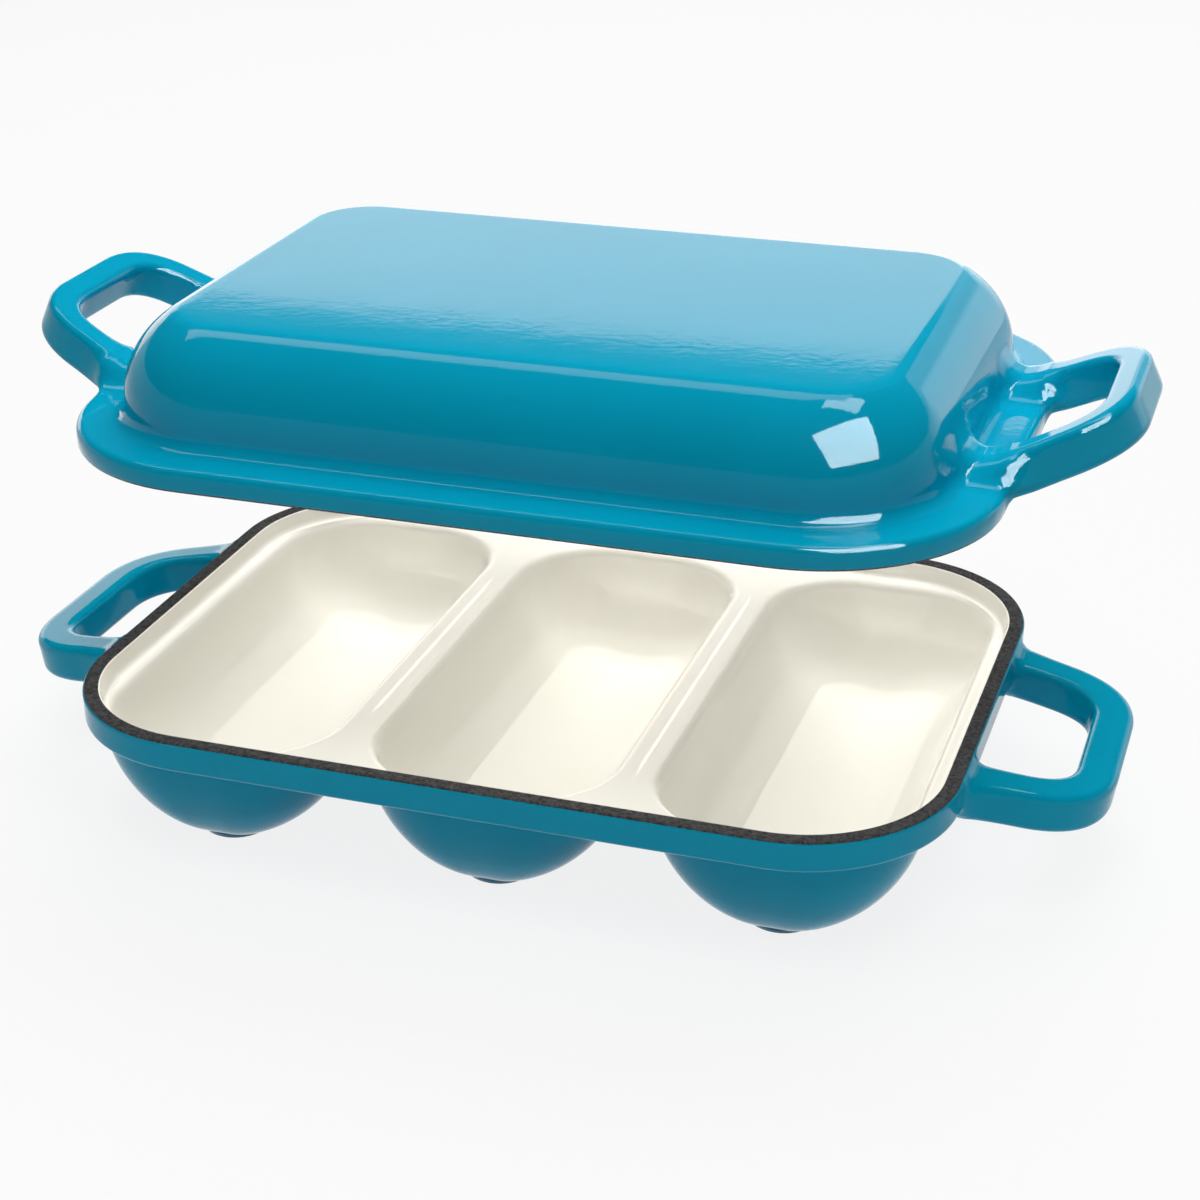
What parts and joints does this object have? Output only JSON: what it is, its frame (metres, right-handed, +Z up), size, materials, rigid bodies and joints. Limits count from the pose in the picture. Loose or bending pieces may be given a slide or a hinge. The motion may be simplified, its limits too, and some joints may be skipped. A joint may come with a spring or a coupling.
{
  "type": "baguette pan",
  "caption": "Covered baguette pan: an enamelled cast-iron base with round-bottomed loaf cavities and loop handles, and a domed lift-off lid with raked loop handles.",
  "frame": {"origin": "on the plane of the feet, under the middle of the base", "axes": "+X along the long side and through the handles, -Y to the front, +Z up; the lid is lifted off as pictured"},
  "size_m": [0.4264, 0.2374, 0.199],
  "materials": {
    "base_iron": "bare matt oxide-dark casting, seen at the rim and ground bright on the feet",
    "base_outer_enamel": "glossy teal vitreous enamel",
    "base_inner_enamel": "glossy ivory vitreous enamel",
    "lid_iron": "bare matt oxide-dark casting, seen at the rim",
    "lid_outer_enamel": "glossy teal vitreous enamel",
    "lid_inner_enamel": "glossy ivory vitreous enamel"
  },
  "bodies": {
    "base": {"base_iron_casting": "base_iron", "base_outer_enamel": "base_outer_enamel", "base_inner_enamel": "base_inner_enamel"},
    "lid": {"lid_iron_casting": "lid_iron", "lid_outer_enamel": "lid_outer_enamel", "lid_inner_enamel": "lid_inner_enamel"}
  },
  "joints": [
    {"name": "lid_lift", "type": "slide", "parent": "base", "child": "lid", "axis": [0.072, 0, 0.9974], "range_m": [-0.09695, 0.06]}
  ]
}
